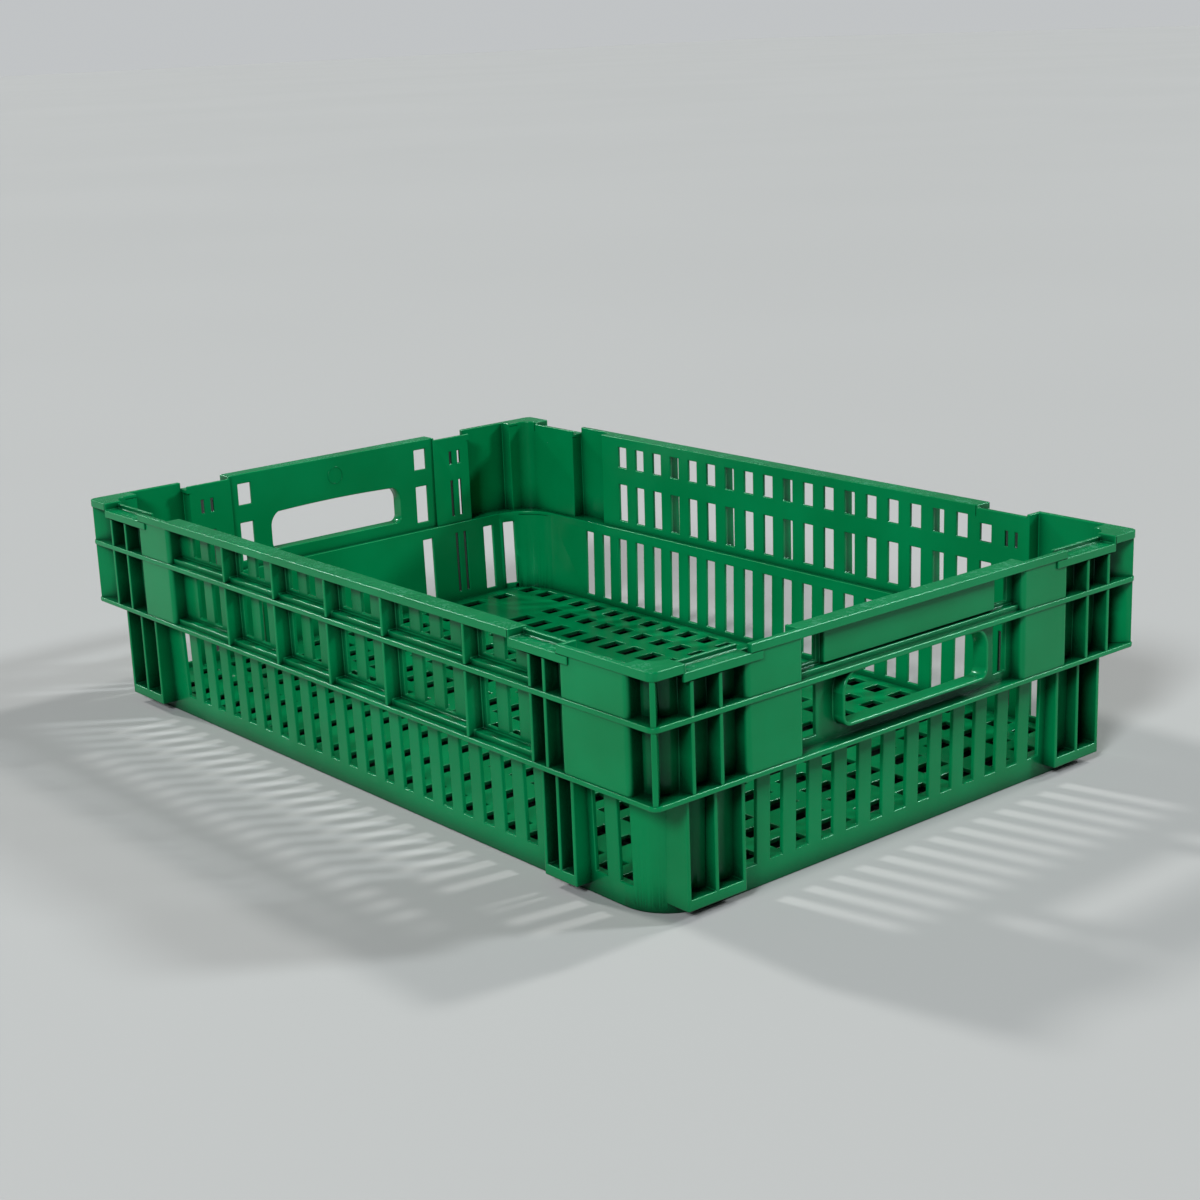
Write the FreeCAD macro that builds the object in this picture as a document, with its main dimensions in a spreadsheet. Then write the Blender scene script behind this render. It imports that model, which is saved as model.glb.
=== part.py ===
"""Rigid 600 x 400 mm stack-and-nest crate, moulded in one piece from green plastic.

Frame: origin at the centre of the base, X along the 600 mm side, Y along the
400 mm side, +Z up, millimetres.  The crate is the same on both sides of the XZ
plane.  It has a lower tier with tall slots, a wider upper band between the low
flange and the rim, pockets (skin pushed out) and support columns (skin set in,
rim lowered to a seat) that alternate near every corner, and a foot under every
column.  Each moulded section is one sub-part and meets its neighbours face to face.
"""
import FreeCAD
import Part
import os
import re
from collections import namedtuple

SIZES = [
    ("outer_length", 600.0, "outer length along X"),
    ("outer_width", 400.0, "outer width along Y"),
    ("outer_radius", 5.0, "corner radius of the flanges and rim"),
    ("total_height", 145.0, "height from base to rim"),
    ("low_flange_top", 73.5, "top face of the low flange"),
    ("low_flange_depth", 3.0, "thickness of the low flange"),
    ("mid_flange_top", 115.8, "top face of the middle flange"),
    ("mid_flange_depth", 3.3, "thickness of the middle flange"),
    ("rim_plate", 2.6, "thickness of the rim's flat top"),
    ("rim_lip_drop", 2.7, "how far the rim's outer lip hangs below its plate"),
    ("rim_lip", 2.2, "thickness of the rim's outer lip"),
    ("seat_drop", 4.8, "how far a seat lies below the rim"),
    ("seat_bead", 2.2, "thickness of the raised bead on a seat's inner edge"),
    ("seat_bead_height", 3.0, "height of that bead"),
    ("seat_tab", 9.0, "length of a seat's tab over the pocket beside it"),
    ("seat_riser", 1.4, "thickness of the step from a seat up to the full rim"),
    ("skin", 2.5, "thickness of the upper band's skin"),
    ("band_inset", 10.5, "outer face of the upper band, from the envelope"),
    ("band_radius", 12.0, "corner radius of the upper band"),
    ("band_draft", 0.6, "draft of the upper band over its height"),
    ("wall", 2.6, "thickness of the lower tier's wall"),
    ("tier_inset_long", 15.8, "lower tier's long faces at their top, from the envelope"),
    ("tier_inset_short", 13.6, "lower tier's short faces at their top, from the envelope"),
    ("tier_radius", 33.0, "corner radius of the lower tier at its top"),
    ("tier_draft", 1.6, "draft of the lower tier over its height"),
    ("rib", 2.5, "thickness of the outer ribs"),
    ("rib_inset", 0.6, "outer edge of the ribs, from the envelope"),
    ("corner_rib", 3.0, "thickness of the diagonal corner ribs"),
    ("corner_rib_tip", 2.0, "outer end of the diagonal ribs, from both faces"),
    ("corner_rib_reach", 20.0, "length of the diagonal ribs before the skin trims them"),
    ("pocket_inset", 1.2, "flush pocket panels, from the envelope"),
    ("pocket_wall", 2.4, "thickness of the pockets' panels and cheeks"),
    ("pocket_round", 3.0, "radius of the pockets' upright outer edges"),
    ("slot_pitch", 20.0, "spacing of the slots along every wall"),
    ("slot_width", 9.4, "width of the slots"),
    ("narrow_slot", 2.4, "width of the slots inside the columns"),
    ("narrow_slot_offset", 4.0, "narrow slots, either side of their column's middle rib"),
    ("narrow_slot_height", 10.0, "height of the narrow slots in the top row"),
    ("narrow_slot_rise", 3.0, "sill of the lower tier's narrow slots above the other slots' sills"),
    ("band_slot_phase", 11.5, "centre of the slot nearest the middle, upper band"),
    ("tier_slot_phase", -5.0, "centre of the slot nearest the middle, long lower walls"),
    ("rib_phase", 1.5, "centre of the rib nearest the middle, long walls"),
    ("rib_west", 250.0, "middle rib of the long walls' west columns"),
    ("rib_east", 212.5, "middle rib of the long walls' east columns"),
    ("rib_left", 112.5, "middle rib of the left wall's columns"),
    ("rib_right", 152.0, "middle rib of the right wall's columns"),
    ("rib_gap_wide", 20.0, "spacing of the ribs in the west and right columns"),
    ("rib_gap_east", 12.5, "spacing of the ribs in the east columns"),
    ("rib_gap_left", 9.0, "spacing of the ribs in the left columns"),
    ("seat_west_outer", 277.0, "outer end of the west seats"),
    ("seat_west_inner", 228.7, "inner end of the west seats"),
    ("pocket_west_outer", 231.2, "outer edge of the west pockets"),
    ("pocket_west_inner", 190.5, "inner edge of the west pockets"),
    ("seat_east_inner", 183.0, "inner end of the east seats"),
    ("seat_east_outer", 224.5, "outer end of the east seats"),
    ("pocket_east_inner", 224.5, "inner edge of the east pockets"),
    ("pocket_east_outer", 279.0, "outer edge of the east pockets"),
    ("seat_left_inner", 92.0, "inner end of the left wall's seats"),
    ("seat_left_outer", 128.0, "outer end of the left wall's seats"),
    ("pocket_left_inner", 124.0, "inner edge of the left wall's pockets"),
    ("pocket_left_outer", 171.0, "outer edge of the left wall's pockets"),
    ("pocket_right_inner", 91.2, "inner edge of the right wall's pockets"),
    ("pocket_right_outer", 133.2, "outer edge of the right wall's pockets"),
    ("seat_right_inner", 130.7, "inner end of the right wall's seats"),
    ("seat_right_outer", 178.0, "outer end of the right wall's seats"),
    ("post_west", 272.0, "start of the west corner posts along X"),
    ("post_east", 174.0, "start of the east corner posts along Y"),
    ("band_reach", 45.0, "depth of the regions that part the upper band"),
    ("inner_reach", 80.0, "depth of the tools that reach well inside the walls"),
    ("top_row_base", 121.5, "sill height of the upper band's top row of slots"),
    ("top_row_head", 137.6, "head height of the same row"),
    ("top_row_head_low", 133.4, "head height of that row where the rim is lowered"),
    ("low_row_base", 79.0, "sill height of the upper band's second row of slots"),
    ("low_row_head", 108.0, "head height of the same row"),
    ("tier_slot_base", 14.0, "sill height of the lower tier's slots"),
    ("tier_slot_head", 65.5, "head height of the same slots"),
    ("sill_inset", 4.6, "outer edge of the sills inside the rib bays"),
    ("sill_height", 3.2, "height of the sills"),
    ("foot_inset", 6.5, "outer face of the feet, from the envelope"),
    ("foot_base", 6.0, "underside of the feet"),
    ("foot_plate", 6.5, "thickness of the feet's base plates"),
    ("long_tier_end", 262.0, "end of the long lower walls"),
    ("short_tier_end", 168.0, "end of the short lower walls"),
    ("hand_half_width", 59.0, "half width of the hand holes"),
    ("hand_base", 83.0, "lower edge of the hand holes"),
    ("hand_head", 112.5, "top of the hand holes' arched upper edge"),
    ("hand_arch", 1100.0, "radius of that arched edge"),
    ("hand_top_radius", 12.0, "upper corner radius of the hand holes"),
    ("hand_low_radius", 5.0, "lower corner radius of the hand holes"),
    ("collar", 2.0, "thickness of the collar round a hand hole"),
    ("collar_inset", 1.4, "outer face of that collar, from the envelope"),
    ("panel_shift", 1.2, "how far the handle panels stand out from the rest of the band"),
    ("apron_inset", 5.8, "outer face of the raised plate over a hand hole, from the envelope"),
    ("apron_half", 71.0, "half width of that plate"),
    ("apron_wall", 2.2, "thickness of that plate"),
    ("apron_gap", 0.8, "gap between that plate and the sill below it"),
    ("window_near", 74.4, "inner edge of the windows beside the hand holes"),
    ("window_far", 85.4, "outer edge of the same windows"),
    ("floor_top", 10.5, "upper face of the floor"),
    ("floor_plate", 3.0, "thickness of the floor grid"),
    ("floor_rib", 2.4, "thickness of the ribs under the floor"),
    ("floor_rib_base", 1.5, "lower edge of the ribs under the floor"),
    ("floor_pitch", 21.2, "spacing of the floor openings along X"),
    ("floor_opening", 11.0, "width of the floor openings along X"),
    ("floor_web", 13.0, "width of the floor bars that run along X"),
    ("floor_end_bar", 20.0, "outer half of the last bars, before the lower tier trims them"),
    ("patch_start", 12.0, "west edge of the closed patch, in bar spacings from the middle"),
    ("patch_end", 10.0, "east edge of the closed patch, in bar spacings from the middle"),
    ("patch_inside", 20.0, "reach of the closed patch from the edge row towards the middle"),
    ("patch_outside", 5.0, "reach of the closed patch beyond the edge row"),
    ("floor_row_pitch", 36.6, "spacing of the long rows of floor openings"),
    ("edge_row_near", 129.9, "inner edge of the last but one row of floor openings"),
    ("edge_row", 14.5, "length of the short openings in the two edge rows"),
]

ALIASES = {alias for alias, value, note in SIZES}
doc = FreeCAD.newDocument("crate")


def make_sheet():
    """Driving dimensions, one per row."""
    sheet = doc.addObject("Spreadsheet::Sheet", "Sizes")
    for row, (alias, value, note) in enumerate(SIZES, start=1):
        sheet.set("A%d" % row, note)
        sheet.set("B%d" % row, str(value))
        sheet.setAlias("B%d" % row, alias)
    doc.recompute()


def bound(text):
    """Turn size names in a formula into references to the sheet."""
    return re.sub(r"[a-z_]{3,}", lambda word: "Sizes." + word.group(0)
                  if word.group(0) in ALIASES else word.group(0), str(text))


def bind(obj, formulas):
    """Bind properties of an object to formulas over the sheet."""
    for prop, text in formulas.items():
        obj.setExpression(prop, bound(text))
    return obj


def box(label, x0, x1, y0, y1, z0, z1):
    """Box between six planes, each a formula."""
    obj = doc.addObject("Part::Box", label)
    return bind(obj, {
        "Length": "(%s) - (%s)" % (x1, x0),
        "Width": "(%s) - (%s)" % (y1, y0),
        "Height": "(%s) - (%s)" % (z1, z0),
        "Placement.Base.x": x0,
        "Placement.Base.y": y0,
        "Placement.Base.z": z0,
    })


def wall_box(side, label, u0, u1, d0, d1, z0, z1):
    """Box beside one wall: u runs along the wall, d is the depth in from the envelope."""
    half_x = "outer_length / 2"
    half_y = "outer_width / 2"
    if side == "front":
        return box(label, u0, u1, "(%s) - %s" % (d0, half_y), "(%s) - %s" % (d1, half_y), z0, z1)
    if side == "back":
        return box(label, u0, u1, "%s - (%s)" % (half_y, d1), "%s - (%s)" % (half_y, d0), z0, z1)
    if side == "left":
        return box(label, "(%s) - %s" % (d0, half_x), "(%s) - %s" % (d1, half_x), u0, u1, z0, z1)
    return box(label, "%s - (%s)" % (half_x, d1), "%s - (%s)" % (half_x, d0), u0, u1, z0, z1)


def joined(label, shapes):
    obj = doc.addObject("Part::MultiFuse", label)
    obj.Shapes = shapes
    obj.Refine = True
    return obj


def group(label, shapes):
    """Tool made of several bodies that stay apart."""
    obj = doc.addObject("Part::Compound", label)
    obj.Links = shapes
    return obj


def cut(label, base, tool):
    obj = doc.addObject("Part::Cut", label)
    obj.Base = base
    obj.Tool = tool
    obj.Refine = True
    return obj


def common(label, base, tool):
    obj = doc.addObject("Part::Common", label)
    obj.Base = base
    obj.Tool = tool
    obj.Refine = True
    return obj


def cone(label, x, y, z0, z1, low_radius, high_radius):
    obj = doc.addObject("Part::Cone", label)
    return bind(obj, {
        "Radius1": low_radius,
        "Radius2": high_radius,
        "Height": "(%s) - (%s)" % (z1, z0),
        "Placement.Base.x": x,
        "Placement.Base.y": y,
        "Placement.Base.z": z0,
    })


def cylinder(label, x, y, z0, z1, radius):
    obj = doc.addObject("Part::Cylinder", label)
    return bind(obj, {
        "Radius": radius,
        "Height": "(%s) - (%s)" % (z1, z0),
        "Placement.Base.x": x,
        "Placement.Base.y": y,
        "Placement.Base.z": z0,
    })


def wall_post(side, label, u, d, z0, z1, radius):
    """Upright cylinder beside one wall."""
    x = {"left": "(%s) - outer_length / 2" % d, "right": "outer_length / 2 - (%s)" % d}
    y = {"front": "(%s) - outer_width / 2" % d, "back": "outer_width / 2 - (%s)" % d}
    return cylinder(label, x.get(side, u), y.get(side, u), z0, z1, radius)


def four_corners():
    """Signs of the four corners."""
    return [(sx, sy) for sx in (-1, 1) for sy in (-1, 1)]


def rounded_block(label, half_x, half_y, radius, z0, z1):
    """Upright block with rounded corners."""
    shapes = [
        box(label + "_across", "-(%s)" % half_x, half_x, "(%s) - (%s)" % (radius, half_y),
            "(%s) - (%s)" % (half_y, radius), z0, z1),
        box(label + "_along", "(%s) - (%s)" % (radius, half_x), "(%s) - (%s)" % (half_x, radius),
            "-(%s)" % half_y, half_y, z0, z1),
    ]
    for sx, sy in four_corners():
        shapes.append(cylinder(label + "_round", "%d * ((%s) - (%s))" % (sx, half_x, radius),
                               "%d * ((%s) - (%s))" % (sy, half_y, radius), z0, z1, radius))
    return joined(label, shapes)


def wedge(label, half_x, half_y, draft_x, draft_y, z0, z1):
    """Upright block that is narrower at its foot by a draft on each side."""
    obj = doc.addObject("Part::Wedge", label)
    bind(obj, {
        "Xmin": "(%s) - (%s)" % (draft_x, half_x),
        "Xmax": "(%s) - (%s)" % (half_x, draft_x),
        "Zmin": "(%s) - (%s)" % (draft_y, half_y),
        "Zmax": "(%s) - (%s)" % (half_y, draft_y),
        "X2min": "-(%s)" % half_x,
        "X2max": half_x,
        "Z2min": "-(%s)" % half_y,
        "Z2max": half_y,
        "Ymin": z0,
        "Ymax": z1,
    })
    obj.Placement = FreeCAD.Placement(FreeCAD.Vector(), FreeCAD.Rotation(FreeCAD.Vector(1, 0, 0), 90))
    return obj


def tapered_block(label, half_x, half_y, radius, draft, z0, z1):
    """Rounded block with the same draft on all sides, sizes given at its top."""
    flat_x = "(%s) - (%s)" % (half_x, radius)
    flat_y = "(%s) - (%s)" % (half_y, radius)
    shapes = [
        wedge(label + "_across", half_x, flat_y, draft, 0, z0, z1),
        wedge(label + "_along", flat_x, half_y, 0, draft, z0, z1),
    ]
    for sx, sy in four_corners():
        shapes.append(cone(label + "_round", "%d * (%s)" % (sx, flat_x), "%d * (%s)" % (sy, flat_y),
                           z0, z1, "(%s) - (%s)" % (radius, draft), radius))
    return joined(label, shapes)


LONG = ("front", "back")
SHORT = ("left", "right")
RIM_LOW = "total_height - rim_plate - rim_lip_drop"
PLATE_LOW = "total_height - rim_plate"
SEAT_TOP = "total_height - seat_drop"
SEAT_LOW = SEAT_TOP + " - rim_plate"
SEAT_LIP = SEAT_LOW + " - rim_lip_drop"
LOW_FLANGE_BASE = "low_flange_top - low_flange_depth"
MID_FLANGE_BASE = "mid_flange_top - mid_flange_depth"

# A column's middle rib and rib spacing, the ends of its skin and of its seat along the wall, the side
# on which its pocket lies, and whether narrow slots flank its middle rib.
Column = namedtuple("Column", "wall name middle gap skin seat toward slotted")


def stretch(sign, near, far):
    """A stretch of wall between two distances from the middle, on the side given by the sign."""
    return (near, far) if sign > 0 else ("-(%s)" % far, "-(%s)" % near)


def place_columns():
    """Every column, and every pocket with its two ends."""
    found = []
    spaces = {}
    for wall in LONG:
        found.append(Column(wall, "west", "-rib_west", "rib_gap_wide",
                            stretch(-1, "pocket_west_outer", "post_west"),
                            stretch(-1, "seat_west_inner", "seat_west_outer"), 1, False))
        found.append(Column(wall, "east", "rib_east", "rib_gap_east",
                            stretch(1, "rib_east - rib_gap_east - rib / 2", "pocket_east_inner"),
                            stretch(1, "seat_east_inner", "seat_east_outer"), 1, True))
        spaces[wall, "west"] = stretch(-1, "pocket_west_inner", "pocket_west_outer")
        spaces[wall, "east"] = stretch(1, "pocket_east_inner", "pocket_east_outer")
    for sign, name in ((-1, "near"), (1, "far")):
        found.append(Column("left", name, "%d * rib_left" % sign, "rib_gap_left",
                            stretch(sign, "seat_left_inner", "pocket_left_inner"),
                            stretch(sign, "seat_left_inner", "seat_left_outer"), sign, True))
        found.append(Column("right", name, "%d * rib_right" % sign, "rib_gap_wide",
                            stretch(sign, "pocket_right_outer", "post_east"),
                            stretch(sign, "seat_right_inner", "seat_right_outer"), -sign, False))
        spaces["left", name] = stretch(sign, "pocket_left_inner", "pocket_left_outer")
        spaces["right", name] = stretch(sign, "pocket_right_inner", "pocket_right_outer")
    return found, spaces


def band_blocks():
    """Outer and inner volume of the upper band, and the inner volume carried up past the rim."""
    half_x = "outer_length / 2 - band_inset"
    half_y = "outer_width / 2 - band_inset"
    outer = tapered_block("band_outer", half_x, half_y, "band_radius", "band_draft",
                          "low_flange_top", PLATE_LOW)
    inner = tapered_block("band_inner", half_x + " - skin", half_y + " - skin", "band_radius - skin",
                          "band_draft", "low_flange_top", "total_height")
    return outer, inner


def tier_blocks():
    """Outer volume of the lower tier and its inner volume up to the low flange."""
    half_x = "outer_length / 2 - tier_inset_short"
    half_y = "outer_width / 2 - tier_inset_long"
    outer = tapered_block("tier_outer", half_x, half_y, "tier_radius", "tier_draft",
                          0, LOW_FLANGE_BASE)
    inner = tapered_block("tier_inner", half_x + " - wall", half_y + " - wall", "tier_radius - wall",
                          "tier_draft", 0, "low_flange_top")
    return outer, inner


def pocket_envelopes():
    """Whole space taken by each pocket, with rounded outer edges, and its open inside."""
    envelopes = {}
    insides = {}
    span = ("low_flange_top", "total_height")
    for (side, name), (u0, u1) in POCKETS.items():
        turn = "pocket_inset + pocket_round"
        ends = ("(%s) + pocket_round" % u0, "(%s) - pocket_round" % u1)
        shapes = [wall_box(side, "pocket_depth", u0, u1, turn, "inner_reach", *span),
                  wall_box(side, "pocket_face", ends[0], ends[1], "pocket_inset", "inner_reach", *span)]
        shapes += [wall_post(side, "pocket_edge", end, turn, *span, "pocket_round") for end in ends]
        envelopes[side, name] = joined("pocket_space", shapes)
        insides[side, name] = wall_box(side, "pocket_inside", "(%s) + pocket_wall" % u0,
                                       "(%s) - pocket_wall" % u1, "pocket_inset + pocket_wall",
                                       "inner_reach", *span)
    return envelopes, insides


def panel_insides():
    """Open space behind the handle panels, whose skin stands out from the rest of the band."""
    return [wall_box(side, "panel_inside", "-(%s)" % PANEL_ENDS[side], PANEL_ENDS[side],
                     "band_inset + skin - panel_shift", "inner_reach", "low_flange_top", "total_height")
            for side in SHORT]


def seat_envelopes():
    """Space above each lowered stretch of rim, and the space of each seat's hanging lip."""
    over = [wall_box(c.wall, "seat_space", *c.seat, -1, "inner_reach", SEAT_LOW, "total_height + 1")
            for c in COLUMNS]
    lips = [wall_box(c.wall, "seat_lip_space", *c.seat, 0, "rim_lip", SEAT_LIP, SEAT_LOW)
            for c in COLUMNS]
    return group("seat_spaces", over), group("seat_lip_spaces", lips)


def finish(obj, node):
    """Mark an object as a sub-part: its label names its file."""
    obj.Label = node
    nodes.append(obj)
    return obj


def floor_grid(tier_inner):
    """Floor: bars both ways with openings between them, ribs below, one closed patch."""
    base = "floor_top - floor_plate"
    reach_x = "outer_length / 2"
    reach_y = "outer_width / 2"
    shapes = []
    half_count = 13
    bar = "(floor_pitch - floor_opening)"
    for k in range(-half_count, half_count + 1):
        centre = "%d * floor_pitch" % k
        wide = "floor_end_bar" if abs(k) == half_count else bar + " / 2"
        west = wide if k == -half_count else bar + " / 2"
        east = wide if k == half_count else bar + " / 2"
        shapes.append(box("floor_bar", centre + " - " + west, centre + " + " + east,
                          "-" + reach_y, reach_y, base, "floor_top"))
        shapes.append(box("floor_rib_bar", centre + " - floor_rib / 2", centre + " + floor_rib / 2",
                          "-" + reach_y, reach_y, "floor_rib_base", base))
    for sign in (-1, 1):
        for k in range(4):
            centre = "%d * (%s) * floor_row_pitch" % (sign, k + 0.5)
            half = "floor_web / 2"
            if k == 3:
                centre = "%d * (edge_row_near - floor_web / 2)" % sign
            shapes.append(box("floor_web_bar", "-" + reach_x, reach_x, centre + " - " + half,
                              centre + " + " + half, base, "floor_top"))
            shapes.append(box("floor_web_rib", "-" + reach_x, reach_x, centre + " - floor_rib / 2",
                              centre + " + floor_rib / 2", "floor_rib_base", base))
        middle = "%d * (edge_row_near + edge_row + floor_web / 2)" % sign
        shapes.append(box("floor_web_bar", "-" + reach_x, reach_x, middle + " - floor_web / 2",
                          middle + " + floor_web / 2", base, "floor_top"))
        shapes.append(box("floor_web_rib", "-" + reach_x, reach_x, middle + " - floor_rib / 2",
                          middle + " + floor_rib / 2", "floor_rib_base", base))
        near = "edge_row_near + 2 * edge_row + floor_web"
        ends = [near, reach_y] if sign > 0 else ["-" + reach_y, "-(" + near + ")"]
        shapes.append(box("floor_edge", "-" + reach_x, reach_x, ends[0], ends[1], base, "floor_top"))
    shapes.append(box("floor_patch", "-patch_start * floor_pitch", "-patch_end * floor_pitch",
                      "edge_row_near - floor_web - patch_inside", "edge_row_near + edge_row + patch_outside",
                      base, "floor_top"))
    return finish(common("floor_grid", joined("floor_bars", shapes), tier_inner), "floor_grid")


def tier_slots():
    """Slots of the lower tier: through both long walls, and one set for each short wall."""
    long_slots = []
    half = "slot_width / 2"
    for k in list(range(-10, 10)) + [12, 13]:
        centre = "tier_slot_phase + %d * slot_pitch" % k
        long_slots.append(box("tier_slot", centre + " - " + half, centre + " + " + half,
                              "-outer_width / 2", "outer_width / 2", "tier_slot_base", "tier_slot_head"))
    slots = {"long": long_slots, "left": [], "right": []}
    for k in range(-8, 9):
        centre = "%d * slot_pitch" % k
        side = "right" if abs(k) <= 6 else None
        for wall in ("left", "right"):
            wanted = abs(k) in (4, 7, 8) if wall == "left" else side == "right"
            if wanted:
                slots[wall].append(wall_box(wall, "tier_slot", centre + " - " + half, centre + " + " + half,
                                            0, "inner_reach", "tier_slot_base", "tier_slot_head"))
    for c in COLUMNS:
        slots["long" if c.wall in LONG else c.wall] += narrow_slots(
            c, [("tier_slot_base + narrow_slot_rise", "tier_slot_head")])
    return {key: group("tier_slots_" + key, shapes) for key, shapes in slots.items()}


def narrow_slots(column, spans):
    """Narrow slots on both sides of a column's middle rib, between the given heights."""
    if not column.slotted:
        return []
    shapes = []
    for sign in (-1, 1):
        centre = "%s + %d * narrow_slot_offset" % (column.middle, sign)
        for z0, z1 in spans:
            shapes.append(wall_box(column.wall, "narrow_slot", centre + " - narrow_slot / 2",
                                   centre + " + narrow_slot / 2", 0, "inner_reach", z0, z1))
    return shapes


def lower_tier(tier_outer, tier_inner):
    """Lower tier: four slotted walls and four rounded corners."""
    shell = cut("tier_shell", tier_outer, tier_inner)
    slots = tier_slots()
    x_end = "long_tier_end"
    y_end = "short_tier_end"
    for side in LONG:
        region = wall_box(side, "tier_region", "-" + x_end, x_end, 0, "inner_reach", 0, LOW_FLANGE_BASE)
        finish(cut("lower_wall", common("tier_part", shell, region), slots["long"]),
               "lower_wall_" + side)
    for side in ("left", "right"):
        region = wall_box(side, "tier_region", "-" + y_end, y_end, 0, "outer_length / 2 - " + x_end,
                          0, LOW_FLANGE_BASE)
        finish(cut("lower_wall", common("tier_part", shell, region), slots[side]),
               "lower_wall_" + side)
    for sx, sy in four_corners():
        xs = ["-outer_length / 2", "-" + x_end] if sx < 0 else [x_end, "outer_length / 2"]
        ys = ["-outer_width / 2", "-" + y_end] if sy < 0 else [y_end, "outer_width / 2"]
        region = box("tier_region", xs[0], xs[1], ys[0], ys[1], 0, LOW_FLANGE_BASE)
        finish(common("lower_corner", shell, region), "lower_corner_" + corner_name(sx, sy))


def corner_name(sx, sy):
    return ("west" if sx < 0 else "east") + ("_front" if sy < 0 else "_back")


def feet(tier_outer):
    """Feet: three ribs and a base plate on the outside of the lower tier, under each column."""
    for c in COLUMNS:
        centres = ["%s + %d * %s" % (c.middle, k, c.gap) for k in (-1, 0, 1)]
        shapes = [wall_box(c.wall, "foot_rib", centre + " - rib / 2", centre + " + rib / 2",
                           "foot_inset", "band_reach", "foot_base", LOW_FLANGE_BASE)
                  for centre in centres]
        shapes.append(wall_box(c.wall, "foot_base_plate", centres[0] + " - rib / 2",
                               centres[-1] + " + rib / 2", "foot_inset", "band_reach", "foot_base",
                               "foot_base + foot_plate"))
        finish(cut("foot", joined("foot_frame", shapes), tier_outer), "foot_%s_%s" % (c.wall, c.name))


def ring_quarters(ring, name):
    """Split a ring into its front, back, left and right pieces."""
    y_end = "short_tier_end"
    for side in LONG:
        region = wall_box(side, "ring_region", "-outer_length / 2", "outer_length / 2", 0,
                          "outer_width / 2 - " + y_end, 0, "total_height")
        finish(common(name, ring, region), "%s_%s" % (name, side))
    for side in ("left", "right"):
        region = wall_box(side, "ring_region", "-" + y_end, y_end, 0, "inner_reach", 0, "total_height")
        finish(common(name, ring, region), "%s_%s" % (name, side))


def flanges(band_outer, tier_inner, envelopes, panels):
    """Low flange, which carries the band on the tier, and middle flange round the band."""
    low = rounded_block("low_ring", "outer_length / 2", "outer_width / 2", "outer_radius",
                        LOW_FLANGE_BASE, "low_flange_top")
    ring_quarters(cut("low_flange_ring", low, tier_inner), "low_flange")
    mid = rounded_block("mid_ring", "outer_length / 2", "outer_width / 2", "outer_radius",
                        MID_FLANGE_BASE, "mid_flange_top")
    holes = group("mid_flange_tools", [band_outer] + list(envelopes.values()) + panels)
    ring_quarters(cut("mid_flange_ring", mid, holes), "mid_flange")


def band_slots():
    """Slots of the long upper walls, in two rows."""
    shapes = []
    half = "slot_width / 2"
    last = 9
    for k in range(-9, last + 1):
        centre = "band_slot_phase + %d * slot_pitch" % k
        head = "top_row_head_low" if k == last else "top_row_head"
        for z0, z1 in (("top_row_base", head), ("low_row_base", "low_row_head")):
            shapes.append(box("band_slot", centre + " - " + half, centre + " + " + half,
                              "-outer_width / 2", "outer_width / 2", z0, z1))
    return group("band_slots", shapes)


def rib_boxes(side, centre, top):
    """One outer rib in two lengths, below and above the middle flange."""
    spans = (("low_flange_top", MID_FLANGE_BASE), ("mid_flange_top", top))
    return [wall_box(side, "rib_length", "%s - rib / 2" % centre, "%s + rib / 2" % centre,
                     "rib_inset", "band_reach", z0, z1) for z0, z1 in spans]


def sill_boxes(side, u0, u1, levels):
    """Sills on the flanges, at the foot of the skin."""
    return [wall_box(side, "sill", u0, u1, "sill_inset", "band_reach", z, "%s + sill_height" % z)
            for z in levels]


def upper_walls(skin, band_outer):
    """Long upper walls: slotted skin with five ribs and sills between them."""
    slots = band_slots()
    start = "-pocket_west_inner"
    stop = "rib_east - rib_gap_east - rib / 2"
    for side in LONG:
        region = wall_box(side, "band_region", start, stop, 0, "band_reach", "low_flange_top", PLATE_LOW)
        ribs = []
        for k in (-6, -3, 0, 3, 7):
            ribs += rib_boxes(side, "(rib_phase + %d * slot_pitch)" % k, RIM_LOW)
        ribs += sill_boxes(side, start, stop, ("low_flange_top", "mid_flange_top"))
        outside = cut("wall_outside", joined("wall_ribs", ribs), band_outer)
        plate = cut("wall_plate", common("wall_skin", skin, region), slots)
        finish(joined("upper_wall", [plate, outside]), "upper_wall_" + side)


def cross_cylinder(side, label, y, z, d0, d1, radius):
    """Cylinder that runs straight through a short wall."""
    obj = doc.addObject("Part::Cylinder", label)
    start = "(%s) - outer_length / 2" % d0 if side == "left" else "outer_length / 2 - (%s)" % d1
    bind(obj, {"Radius": radius, "Height": "(%s) - (%s)" % (d1, d0), "Placement.Base.x": start,
               "Placement.Base.y": y, "Placement.Base.z": z})
    obj.Placement.Rotation = FreeCAD.Rotation(FreeCAD.Vector(0, 1, 0), 90)
    return obj


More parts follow.
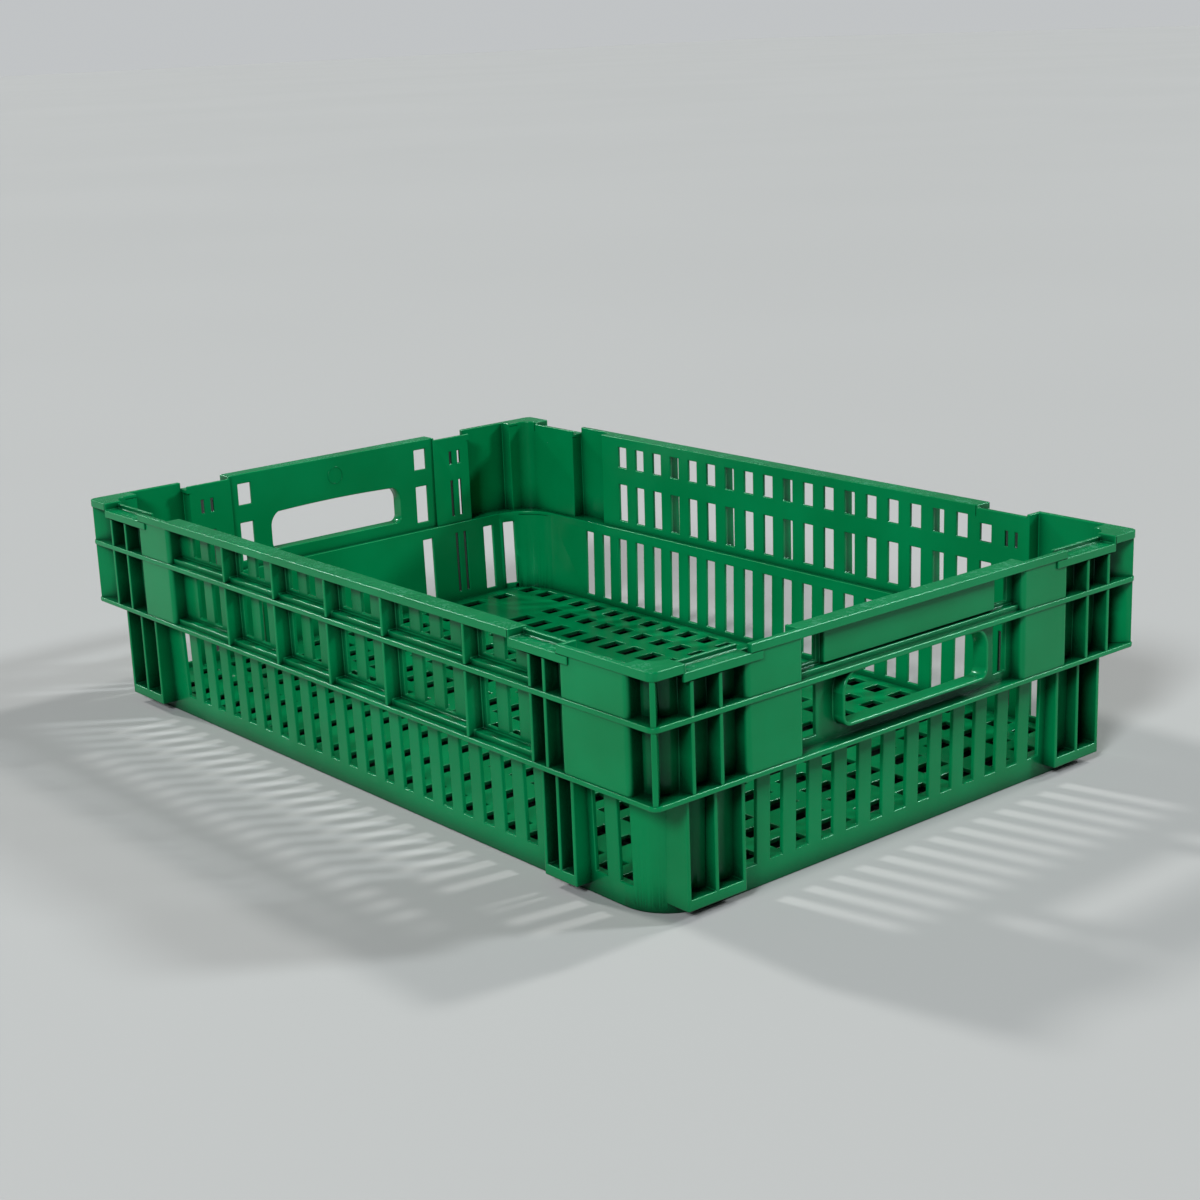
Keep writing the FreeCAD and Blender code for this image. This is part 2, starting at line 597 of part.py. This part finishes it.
def hand_window(side, label, grow, d0, d1):
    """Hand hole volume, grown by a margin: rounded corners and an arched upper edge."""
    half = "(hand_half_width + %s)" % grow
    low = "(hand_base - %s)" % grow
    high = "(hand_head + %s)" % grow
    top = "(hand_top_radius + %s)" % grow
    foot = "(hand_low_radius + %s)" % grow
    arch = "(hand_arch + %s)" % grow
    shapes = [wall_box(side, label, "-" + half, half, d0, d1, low + " + " + foot, high + " - " + top)]
    for radius, base, head, centre in ((top, high + " - " + top, high, high + " - " + top),
                                       (foot, low, low + " + " + foot, low + " + " + foot)):
        shapes.append(wall_box(side, label, "%s - %s" % (radius, half), "%s - %s" % (half, radius),
                               d0, d1, base, head))
        shapes += [cross_cylinder(side, label, "%d * (%s - %s)" % (sign, half, radius), centre,
                                  d0, d1, radius) for sign in (-1, 1)]
    curve = cross_cylinder(side, label + "_arch", 0, "%s - %s" % (high, arch), d0, d1, arch)
    return common(label, joined(label + "_square", shapes), curve)


def apron(side):
    """Raised plate above a hand hole, with a web at each end, open at the bottom."""
    floor = "mid_flange_top + sill_height + apron_gap"
    shapes = [wall_box(side, "apron_plate", "-apron_half", "apron_half", "apron_inset",
                       "apron_inset + apron_wall", floor, PLATE_LOW)]
    for sign in (-1, 1):
        web = stretch(sign, "apron_half - apron_wall", "apron_half")
        shapes.append(wall_box(side, "apron_web", *web, "apron_inset", "band_inset", floor, PLATE_LOW))
    return shapes


def handle_panels(panel_skins, lip_ring):
    """Short upper walls between columns or pockets: hand hole, collar, raised plate, four windows."""
    for side, skin in zip(SHORT, panel_skins):
        end = PANEL_ENDS[side]
        below = wall_box(side, "collar_space", "-(%s)" % end, end, 0, "band_inset", "low_flange_top",
                         MID_FLANGE_BASE)
        collar = common("collar", hand_window(side, "collar_outer", "collar", "collar_inset", "band_inset"),
                        below)
        sill = wall_box(side, "sill", "-(%s)" % end, end, "sill_inset", "band_inset", "mid_flange_top",
                        "mid_flange_top + sill_height")
        whole = cut("panel_body", joined("panel_parts", [skin, collar, sill] + apron(side)), lip_ring)
        holes = [hand_window(side, "hand_hole", "0", "-1", "band_reach")]
        for sign in (-1, 1):
            ends = stretch(sign, "window_near", "window_far")
            for z0, z1 in (("top_row_base", "top_row_head"), ("low_row_base", "low_row_head")):
                holes.append(wall_box(side, "window", *ends, "-1", "band_reach", z0, z1))
        finish(cut("handle_panel", whole, group("panel_holes", holes)), "handle_panel_" + side)


def seat(column, band_inner):
    """Seat: lowered rim with an inner bead, a lip, a tab over the pocket and a riser at the other end."""
    side = column.wall
    u0, u1 = column.seat
    top = wall_box(side, "seat_plate", u0, u1, 0, "inner_reach", SEAT_LOW, SEAT_TOP)
    bead = wall_box(side, "seat_bead_box", u0, u1, "band_inset + skin - seat_bead", "inner_reach",
                    SEAT_TOP, SEAT_TOP + " + seat_bead_height")
    lip = wall_box(side, "seat_lip_box", u0, u1, 0, "rim_lip", SEAT_LIP, SEAT_LOW)
    ends = (u1, "(%s) + seat_tab" % u1) if column.toward > 0 else ("(%s) - seat_tab" % u0, u0)
    tab = wall_box(side, "seat_tab_box", *ends, 0, "pocket_inset", SEAT_LIP, RIM_LOW)
    ends = (u0, "(%s) + seat_riser" % u0) if column.toward > 0 else ("(%s) - seat_riser" % u1, u1)
    riser = wall_box(side, "seat_riser_box", *ends, 0, "inner_reach", SEAT_TOP, "total_height")
    return cut("seat", joined("seat_parts", [top, bead, lip, tab, riser]), band_inner)


def columns(skin, band_outer, band_inner):
    """Support columns: set-in skin, two outer ribs and the seat on top."""
    for c in COLUMNS:
        region = wall_box(c.wall, "column_region", *c.skin, 0, "band_reach", "low_flange_top", PLATE_LOW)
        ribs = []
        for k in (0, -c.toward):
            ribs += rib_boxes(c.wall, "(%s + %d * %s)" % (c.middle, k, c.gap), SEAT_LIP)
        plate = common("column_skin", skin, region)
        holes = narrow_slots(c, [("top_row_base", "top_row_base + narrow_slot_height"),
                                 ("low_row_base", "low_row_head")])
        if holes:
            plate = cut("column_plate", plate, group("column_slots", holes))
        outside = cut("column_outside", joined("column_ribs", ribs), band_outer)
        finish(joined("column", [plate, outside, seat(c, band_inner)]), "column_%s_%s" % (c.wall, c.name))


def pockets(envelopes, insides, tools):
    """Pockets: flush outer panel and two cheeks."""
    trim = group("pocket_tools", tools)
    for (side, name), space in envelopes.items():
        hollow = cut("pocket_shell", space, insides[side, name])
        finish(cut("pocket", hollow, trim), "pocket_%s_%s" % (side, name))


def corner_box(label, sx, sy, x_start, y_start, z0, z1):
    """Region round one corner, from two distances out to the envelope."""
    return box(label, *stretch(sx, x_start, "outer_length / 2"), *stretch(sy, y_start, "outer_width / 2"),
               z0, z1)


def diagonal_rib(sx, sy, z0, z1):
    """Upright plate on the diagonal of one corner."""
    rib = doc.addObject("Part::Box", "corner_rib_box")
    bind(rib, {
        "Length": "corner_rib_reach",
        "Width": "corner_rib",
        "Height": "(%s) - (%s)" % (z1, z0),
        "Placement.Base.x": "%d * (outer_length / 2 - corner_rib_tip) + (%d * corner_rib / 2"
                            " - %d * corner_rib_reach) * sqrt(0.5)" % (sx, sy, sx),
        "Placement.Base.y": "%d * (outer_width / 2 - corner_rib_tip) - (%d * corner_rib / 2"
                            " + %d * corner_rib_reach) * sqrt(0.5)" % (sy, sx, sy),
        "Placement.Base.z": z0,
    })
    heading = sy * (45 if sx > 0 else 135)
    rib.Placement.Rotation = FreeCAD.Rotation(FreeCAD.Vector(0, 0, 1), heading)
    return rib


def upper_corners(skin, band_outer):
    """Corner posts: curved skin and one diagonal rib in two lengths."""
    spans = (("low_flange_top", MID_FLANGE_BASE), ("mid_flange_top", RIM_LOW))
    for sx, sy in four_corners():
        starts = ("pocket_east_outer", "post_east") if sx > 0 else ("post_west", "pocket_left_outer")
        region = corner_box("corner_region", sx, sy, *starts, "low_flange_top", PLATE_LOW)
        ribs = joined("corner_ribs", [diagonal_rib(sx, sy, z0, z1) for z0, z1 in spans])
        parts = [common("corner_skin", skin, region), cut("corner_outside", ribs, band_outer)]
        finish(joined("upper_corner", parts), "upper_corner_" + corner_name(sx, sy))


def rims(tools, lip_ring):
    """Rim: flat top with a hanging lip, in four corner pieces and four side pieces."""
    plate = rounded_block("rim_plate_block", "outer_length / 2", "outer_width / 2", "outer_radius",
                          PLATE_LOW, "total_height")
    ring = cut("rim_ring", joined("rim_whole", [plate, lip_ring]), group("rim_tools", tools))
    for sx, sy in four_corners():
        starts = ("seat_east_outer", "seat_right_outer") if sx > 0 else ("seat_west_outer", "seat_left_outer")
        region = corner_box("rim_region", sx, sy, *starts, RIM_LOW, "total_height")
        finish(common("rim_corner", ring, region), "rim_corner_" + corner_name(sx, sy))
    spans = {
        "front": ("-seat_west_inner", "seat_east_inner"),
        "back": ("-seat_west_inner", "seat_east_inner"),
        "left": ("-seat_left_inner", "seat_left_inner"),
        "right": ("-seat_right_inner", "seat_right_inner"),
    }
    for side, ends in spans.items():
        region = wall_box(side, "rim_region", *ends, 0, "band_reach", RIM_LOW, "total_height")
        finish(common("rim_side", ring, region), "rim_" + side)


def export():
    """Check every object, then write one file for each sub-part."""
    doc.recompute()
    for obj in doc.Objects:
        if {"Invalid", "Error"} & set(obj.State):
            raise RuntimeError("failed object: " + obj.Name)
    for obj in nodes:
        if obj.Shape.isNull() or not obj.Shape.isValid():
            raise RuntimeError("bad shape: " + obj.Label)
    os.makedirs("parts", exist_ok=True)
    for obj in nodes:
        obj.Shape.exportStep("parts/%s.step" % obj.Label)
    volume = sum(obj.Shape.Volume for obj in nodes)
    print("sub-parts:", len(nodes), " volume cm3:", round(volume / 1000, 1))


nodes = []
make_sheet()
COLUMNS, POCKETS = place_columns()
PANEL_ENDS = {"left": "seat_left_inner", "right": "pocket_right_inner"}
outer_band, inner_band = band_blocks()
outer_tier, inner_tier = tier_blocks()
pocket_spaces, pocket_insides = pocket_envelopes()
seat_spaces, seat_lips = seat_envelopes()
panel_skins = [wall_box(side, "panel_skin", "-(%s)" % PANEL_ENDS[side], PANEL_ENDS[side],
                        "band_inset - panel_shift", "band_inset + skin - panel_shift",
                        "low_flange_top", PLATE_LOW) for side in SHORT]
lip = cut("lip_ring",
          rounded_block("lip_outer", "outer_length / 2", "outer_width / 2", "outer_radius",
                        RIM_LOW, PLATE_LOW),
          rounded_block("lip_inner", "outer_length / 2 - rim_lip", "outer_width / 2 - rim_lip",
                        "outer_radius - rim_lip", RIM_LOW, PLATE_LOW))
above_skin = box("above_skin", "-outer_length", "outer_length", "-outer_width", "outer_width",
                 PLATE_LOW, "total_height + 5")
band_skin = cut("band_skin", cut("band_shell", outer_band, inner_band),
                group("band_tools", list(pocket_spaces.values()) + [seat_spaces]))

floor_grid(inner_tier)
lower_tier(outer_tier, inner_tier)
feet(outer_tier)
flanges(outer_band, inner_tier, pocket_spaces, panel_skins)
upper_walls(band_skin, outer_band)
handle_panels(panel_skins, lip)
columns(band_skin, outer_band, inner_band)
pockets(pocket_spaces, pocket_insides, [inner_band, lip, above_skin, seat_spaces, seat_lips])
upper_corners(band_skin, outer_band)
rims([inner_band, seat_spaces] + list(pocket_insides.values()) + panel_insides(), lip)
export()
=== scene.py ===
import math

import bpy
from mathutils import Matrix, Vector
from mathutils.bvhtree import BVHTree


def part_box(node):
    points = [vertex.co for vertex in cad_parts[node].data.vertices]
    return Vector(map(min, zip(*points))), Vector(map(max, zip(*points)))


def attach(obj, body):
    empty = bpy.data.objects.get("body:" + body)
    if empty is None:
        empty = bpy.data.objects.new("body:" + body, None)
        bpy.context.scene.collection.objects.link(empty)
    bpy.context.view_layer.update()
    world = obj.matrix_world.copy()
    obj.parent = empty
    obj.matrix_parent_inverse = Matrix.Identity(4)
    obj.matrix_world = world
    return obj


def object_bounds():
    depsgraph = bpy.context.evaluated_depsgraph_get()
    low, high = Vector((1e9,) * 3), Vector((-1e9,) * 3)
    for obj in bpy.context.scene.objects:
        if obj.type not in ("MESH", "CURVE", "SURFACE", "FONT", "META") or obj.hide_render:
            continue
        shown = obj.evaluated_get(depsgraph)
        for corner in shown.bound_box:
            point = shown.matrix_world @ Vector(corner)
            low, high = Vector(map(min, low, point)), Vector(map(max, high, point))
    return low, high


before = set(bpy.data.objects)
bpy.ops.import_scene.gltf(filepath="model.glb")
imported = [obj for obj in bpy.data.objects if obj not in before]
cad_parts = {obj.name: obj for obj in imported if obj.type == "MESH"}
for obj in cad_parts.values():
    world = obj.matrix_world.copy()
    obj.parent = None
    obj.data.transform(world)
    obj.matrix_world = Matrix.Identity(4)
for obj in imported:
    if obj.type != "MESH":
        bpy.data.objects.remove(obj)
cad_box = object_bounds()

MM = 0.001
SLOT = "crate_plastic"


# ---------------------------------------------------------------- softened edges

WELD = 0.01 * MM
FLAT_LIMIT = math.radians(0.6)
SHARP_LIMIT = math.radians(28.0)
SEAM_REACH = 0.03 * MM
SEAM_SAMPLES = (0.08, 0.5, 0.92)
EDGE_ROUND = 0.7 * MM
EDGE_SEGMENTS = 2


def touching(a, b):
    """Whether the boxes of two CAD nodes meet."""
    low_a, high_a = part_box(a)
    low_b, high_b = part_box(b)
    return all(low_a[i] <= high_b[i] + WELD and low_b[i] <= high_a[i] + WELD for i in range(3))


def key(point):
    """A point as whole hundredths of a millimetre, the same for the copies of one corner."""
    return tuple(round(c / WELD) for c in point)


def sharp_edges(mesh, corners):
    """The edges where two faces of a section meet at an angle, by the places of their ends."""
    normals = {}
    for face in mesh.polygons:
        for a, b in face.edge_keys:
            normals.setdefault(frozenset((corners[a], corners[b])), []).append(face.normal.copy())
    return {ends for ends, found in normals.items()
            if len(found) == 2 and found[0].angle(found[1], 0.0) > SHARP_LIMIT}


def on_a_neighbour(start, end, around):
    """Whether the whole edge from start to end lies on one of the neighbours' surfaces."""
    spots = [start.lerp(end, share) for share in SEAM_SAMPLES]
    return any(all(tree.find_nearest(spot, SEAM_REACH)[0] for spot in spots) for tree in around)


def edge_weights(mesh, around):
    """1 for each sharp edge that is free, and 0 for the rest."""
    corners = [key(v.co) for v in mesh.vertices]
    sharp = sharp_edges(mesh, corners)
    weights = []
    for edge in mesh.edges:
        a, b = edge.vertices
        free = (frozenset((corners[a], corners[b])) in sharp
                and not on_a_neighbour(mesh.vertices[a].co, mesh.vertices[b].co, around))
        weights.append(1.0 if free else 0.0)
    return weights


def soften(nodes):
    """Rounds every free sharp edge of the CAD sections by modifiers; an edge on a neighbour stays sharp."""
    trees = {}
    for name, obj in nodes.items():
        points = [v.co.copy() for v in obj.data.vertices]
        trees[name] = BVHTree.FromPolygons(points, [tuple(p.vertices) for p in obj.data.polygons])
    for name, obj in nodes.items():
        around = [trees[other] for other in nodes if other != name and touching(name, other)]
        weights = edge_weights(obj.data, around)
        layer = obj.data.attributes.new("bevel_weight_edge", "FLOAT", "EDGE")
        layer.data.foreach_set("value", weights)
        weld = obj.modifiers.new("weld", "WELD")
        weld.merge_threshold = WELD
        flat = obj.modifiers.new("flat", "DECIMATE")
        flat.decimate_type = "DISSOLVE"
        flat.angle_limit = FLAT_LIMIT
        bevel = obj.modifiers.new("round", "BEVEL")
        bevel.limit_method = "WEIGHT"
        bevel.width = EDGE_ROUND
        bevel.segments = EDGE_SEGMENTS
        bevel.use_clamp_overlap = False
        bevel.harden_normals = True


# ---------------------------------------------------------------- shader nodes

def feed(tree, socket, value):
    """Links a node's output to a socket, or sets a plain number or colour there."""
    if isinstance(value, bpy.types.NodeSocket):
        tree.links.new(value, socket)
    else:
        socket.default_value = value


def add(tree, kind, inputs=None, **settings):
    """A node of that kind in the tree, with its settings and input values or links."""
    node = tree.nodes.new(kind)
    for name, value in settings.items():
        setattr(node, name, value)
    for slot, value in (inputs or {}).items():
        feed(tree, node.inputs[slot], value)
    return node


def math_node(tree, operation, a, b, clamp=False):
    """The result socket of one arithmetic step."""
    return add(tree, "ShaderNodeMath", {0: a, 1: b}, operation=operation, use_clamp=clamp).outputs[0]


def times(tree, a, b):
    """The product of two values."""
    return math_node(tree, "MULTIPLY", a, b)


def spread(tree, value, span, to_low=0.0, to_high=1.0):
    """A value mapped smoothly from one range to another, held at both ends."""
    low, high = span
    return add(tree, "ShaderNodeMapRange",
               {"Value": value, "From Min": low, "From Max": high, "To Min": to_low, "To Max": to_high},
               interpolation_type="SMOOTHSTEP").outputs[0]


def noise(tree, place, size, detail=2.0, rough=0.5):
    """A noise value whose blobs are about that size in metres."""
    return add(tree, "ShaderNodeTexNoise",
               {"Vector": place, "Scale": 1.0 / size, "Detail": detail, "Roughness": rough}).outputs[0]


def blend_colour(tree, share, a, b):
    """Two colours mixed by a share."""
    return add(tree, "ShaderNodeMix", {0: share, 6: a, 7: b}, data_type="RGBA").outputs[2]


# ---------------------------------------------------------------- the crate's plastic

DEEP_GREEN = (0.0001, 0.178, 0.053, 1)
BRIGHT_GREEN = (0.0002, 0.216, 0.069, 1)
# Painted shade: the dark colour that recesses are painted towards.
PAINTED_SHADE_GREEN = (0.0001, 0.014, 0.005, 1)
SCUFF_GREEN = (0.09, 0.34, 0.22, 1)

# Sizes of the plastic's patterns.
FLOW_SIZE = 70 * MM
PATCH_SIZE = 28 * MM
WEAR_SIZE = 3.5 * MM
WEAR_STRETCH = (1.0, 1.0, 0.35)
PEEL_SIZE = 2.6 * MM
GRAIN_SIZE = 0.9 * MM

# Ranges over which each pattern goes from none to full.
FLOW_SPAN = (0.3, 0.7)
# Painted shade: the openness range from full painted shade to none.
PAINTED_SHADE_SPAN = (0.30, 0.92)
UPWARD_SPAN = (0.55, 0.95)
RIM_SPAN = (0.1385, 0.1396)
WEAR_SPAN = (0.46, 0.68)
SCUFF_PATCH_SPAN = (0.35, 0.7)
GLOSS_PATCH_SPAN = (0.25, 0.75)

# Painted shade in recesses: how far, and with how many rays, the openness is measured.
PAINTED_SHADE_REACH = 20 * MM
PAINTED_SHADE_SAMPLES = 6
SCUFF_COLOUR_SHARE = 0.55
SMOOTHEST, ROUGHEST = 0.19, 0.26
SCUFF_ROUGHNESS = 0.22
PEEL_SHARE, GRAIN_SHARE = 0.6, 0.4
BUMP_STRENGTH = 0.22
BUMP_DEPTH = 0.12 * MM
IOR = 1.5
SPECULAR_LEVEL = 0.27
SPECULAR_TINT = (0.55, 1.0, 0.85, 1.0)


def crate_plastic():
    """Semi-gloss green polyethylene: flow mottling, painted shade in recesses, orange peel, pale scuffs on
    the rim.
    """
    material = bpy.data.materials.new(SLOT)
    material.use_nodes = True
    tree = material.node_tree
    tree.nodes.clear()
    place = tree.nodes.new("ShaderNodeTexCoord").outputs["Object"]
    up = add(tree, "ShaderNodeSeparateXYZ", {0: place}).outputs[2]
    facing_up = add(tree, "ShaderNodeSeparateXYZ",
                    {0: add(tree, "ShaderNodeNewGeometry").outputs["Normal"]}).outputs[2]

    cloud = spread(tree, noise(tree, place, FLOW_SIZE, 3.0), FLOW_SPAN)
    green = blend_colour(tree, cloud, DEEP_GREEN, BRIGHT_GREEN)

    # How open each point is to the space around it: recesses get painted shade, a darker colour on top of
    # the shade that the lights give.
    openness_for_painted_shade = add(tree, "ShaderNodeAmbientOcclusion", {"Distance": PAINTED_SHADE_REACH},
                  samples=PAINTED_SHADE_SAMPLES).outputs["AO"]
    green = blend_colour(tree, spread(tree, openness_for_painted_shade, PAINTED_SHADE_SPAN), PAINTED_SHADE_GREEN, green)

    stretched = add(tree, "ShaderNodeMapping", {"Vector": place, "Scale": WEAR_STRETCH}).outputs[0]
    wear = noise(tree, stretched, WEAR_SIZE, 6.0, 0.7)
    patches = noise(tree, place, PATCH_SIZE, 3.0)
    rim_top = times(tree, spread(tree, facing_up, UPWARD_SPAN), spread(tree, up, RIM_SPAN))
    worn = times(tree, spread(tree, wear, WEAR_SPAN), spread(tree, patches, SCUFF_PATCH_SPAN))
    scuffed = times(tree, rim_top, worn)
    colour = blend_colour(tree, times(tree, scuffed, SCUFF_COLOUR_SHARE), green, SCUFF_GREEN)

    gloss = spread(tree, patches, GLOSS_PATCH_SPAN, SMOOTHEST, ROUGHEST)
    rough = math_node(tree, "ADD", gloss, times(tree, scuffed, SCUFF_ROUGHNESS), clamp=True)

    peel = times(tree, noise(tree, place, PEEL_SIZE), PEEL_SHARE)
    grain = times(tree, noise(tree, place, GRAIN_SIZE), GRAIN_SHARE)
    bump = add(tree, "ShaderNodeBump",
               {"Height": math_node(tree, "ADD", peel, grain), "Strength": BUMP_STRENGTH,
                "Distance": BUMP_DEPTH}).outputs[0]

    shader = add(tree, "ShaderNodeBsdfPrincipled",
                 {"Base Color": colour, "Roughness": rough, "Normal": bump, "IOR": IOR,
                  "Specular IOR Level": SPECULAR_LEVEL, "Specular Tint": SPECULAR_TINT})
    out = tree.nodes.new("ShaderNodeOutputMaterial")
    tree.links.new(shader.outputs[0], out.inputs[0])
    return material


# ---------------------------------------------------------------- small marks of the mould

RING_RADIUS = 6.4 * MM
RING_LINE = 0.3 * MM
RING_STEPS, LINE_STEPS = 48, 8
LEFT_PANEL_FACE = -288.2 * MM
RING_HEIGHT = 130.4 * MM

GATE_RING = 2.2 * MM
GATE_NUB = 0.7 * MM
NUB_STEPS, NUB_RINGS = 16, 8
GATE_ALONG = -261.0 * MM
# Distance from the crate's middle line, and height, of each mark on a west column.
GATE_PLACES = {"top": (187.3 * MM, 129.6 * MM), "low": (187.7 * MM, 92.0 * MM)}

FACING_X = (0.0, math.pi / 2, 0.0)
FACING_Y = (math.pi / 2, 0.0, 0.0)


def mark(name, piece):
    """Gives a new mark the crate's plastic and ties it to the crate."""
    piece.name = name
    piece.data.materials.append(plastic)
    bpy.ops.object.shade_smooth()
    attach(piece, "root")


def ring(name, place, turn, radius, line):
    """Thin raised ring, half sunk in the wall."""
    bpy.ops.mesh.primitive_torus_add(major_segments=RING_STEPS, minor_segments=LINE_STEPS,
                                     major_radius=radius, minor_radius=line, location=place,
                                     rotation=turn)
    mark(name, bpy.context.object)


def nub(name, place):
    """Tiny round bump, half sunk in the wall."""
    bpy.ops.mesh.primitive_uv_sphere_add(segments=NUB_STEPS, ring_count=NUB_RINGS, radius=GATE_NUB,
                                         location=place)
    mark(name, bpy.context.object)


def mould_marks():
    """Plain ring above the left hand hole; small nubs and rings inside the west columns."""
    ring("mould_ring_left", (LEFT_PANEL_FACE, 0.0, RING_HEIGHT), FACING_X, RING_RADIUS, RING_LINE)
    for wall, sign in (("front", -1), ("back", 1)):
        for level, (depth, height) in GATE_PLACES.items():
            place = (GATE_ALONG, sign * depth, height)
            ring("gate_ring_%s_%s" % (wall, level), place, FACING_Y, GATE_RING, RING_LINE / 2)
            nub("gate_nub_%s_%s" % (wall, level), place)


# ---------------------------------------------------------------- floor, sky and lights

FLOOR_SIZE = 60.0
FLOOR_TONES = ((0.420, 0.420, 0.417, 1), (0.430, 0.430, 0.427, 1))
FLOOR_PATCH = 1.5
FLOOR_SPAN = (0.3, 0.7)
FLOOR_ROUGHNESS = 0.7
FLOOR_SPECULAR = 0.15

# The sky's light falls from the first strength to the second between these heights of direction.
SKY_SPAN = (0.07, 0.2)
HORIZON_LIGHT = 0.56
SKY_LIGHT = 0.06
SKY_COLOUR = (0.95, 0.98, 1.0, 1)

# Name, direction towards the light, strength, apparent diameter in degrees, colour.
LIGHTS = (
    ("left_high", (-0.80, -0.18, 0.57), 1.6, 6.5, (1.0, 1.0, 0.98)),
    ("behind_high", (0.10, 0.66, 0.74), 1.1, 6.0, (1.0, 1.0, 0.98)),
    ("right_behind", (0.50, 0.70, 0.50), 1.8, 7.0, (0.92, 0.98, 1.0)),
    ("front_right", (0.34, -0.76, 0.56), 2.5, 14.0, (0.92, 0.98, 1.0)),
)


def floor_plane():
    """A plain pale floor at the crate's foot."""
    material = bpy.data.materials.new("studio_floor")
    material.use_nodes = True
    tree = material.node_tree
    shader = tree.nodes["Principled BSDF"]
    place = tree.nodes.new("ShaderNodeTexCoord").outputs["Object"]
    tone = spread(tree, noise(tree, place, FLOOR_PATCH), FLOOR_SPAN)
    tree.links.new(blend_colour(tree, tone, *FLOOR_TONES), shader.inputs["Base Color"])
    shader.inputs["Roughness"].default_value = FLOOR_ROUGHNESS
    shader.inputs["Specular IOR Level"].default_value = FLOOR_SPECULAR
    bpy.ops.mesh.primitive_plane_add(size=FLOOR_SIZE, location=(0, 0, cad_box[0][2]))
    floor = bpy.context.object
    floor.name = "studio_floor"
    floor.data.materials.append(material)


def sky():
    """A soft sky, as light as the floor near the horizon and dim above."""
    world = bpy.data.worlds.new("studio")
    world.use_nodes = True
    tree = world.node_tree
    direction = tree.nodes.new("ShaderNodeTexCoord").outputs["Generated"]
    height = add(tree, "ShaderNodeSeparateXYZ", {0: direction}).outputs[2]
    background = tree.nodes["Background"]
    background.inputs[0].default_value = SKY_COLOUR
    tree.links.new(spread(tree, height, SKY_SPAN, HORIZON_LIGHT, SKY_LIGHT), background.inputs[1])
    bpy.context.scene.world = world


def lights():
    """Three small high lights and, from the front right, one broader one."""
    for name, towards, strength, diameter, colour in LIGHTS:
        light = bpy.data.lights.new(name, "SUN")
        light.energy = strength
        light.angle = math.radians(diameter)
        light.color = colour
        lamp = bpy.data.objects.new(name, light)
        bpy.context.scene.collection.objects.link(lamp)
        lamp.rotation_euler = Vector(towards).to_track_quat("Z", "Y").to_euler()


# ---------------------------------------------------------------- camera

CAMERA_PLACE = (1.04361, -0.85067, 0.45746)
CAMERA_TURN = math.radians(50.76)
CAMERA_TILT = math.radians(15.36)
CAMERA_ROLL = math.radians(-2.33)
CAMERA_LENS = 62.7
CAMERA_SENSOR = 36.0
CAMERA_SHIFT = (0.0166, -0.0029)
CAMERA_NEAR = 0.05


def camera():
    """The camera that looks at the crate's near right corner from above."""
    back = Vector((math.sin(CAMERA_TURN) * math.cos(CAMERA_TILT),
                   -math.cos(CAMERA_TURN) * math.cos(CAMERA_TILT), math.sin(CAMERA_TILT)))
    right = Vector((math.cos(CAMERA_TURN), math.sin(CAMERA_TURN), 0.0))
    up = back.cross(right)
    rolled_right = right * math.cos(CAMERA_ROLL) + up * math.sin(CAMERA_ROLL)
    rolled_up = up * math.cos(CAMERA_ROLL) - right * math.sin(CAMERA_ROLL)
    data = bpy.data.cameras.new("camera")
    data.sensor_width = CAMERA_SENSOR
    data.lens = CAMERA_LENS
    data.shift_x, data.shift_y = CAMERA_SHIFT
    data.clip_start = CAMERA_NEAR
    cam = bpy.data.objects.new("camera", data)
    bpy.context.scene.collection.objects.link(cam)
    turn = Matrix((rolled_right, rolled_up, back)).transposed()
    cam.matrix_world = Matrix.Translation(CAMERA_PLACE) @ turn.to_4x4()
    bpy.context.scene.camera = cam


# ---------------------------------------------------------------- the scene

soften(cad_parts)
plastic = crate_plastic()
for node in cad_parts.values():
    node.data.materials.clear()
    node.data.materials.append(plastic)
mould_marks()
floor_plane()
sky()
lights()
camera()
bpy.context.scene.view_settings.view_transform = "Standard"
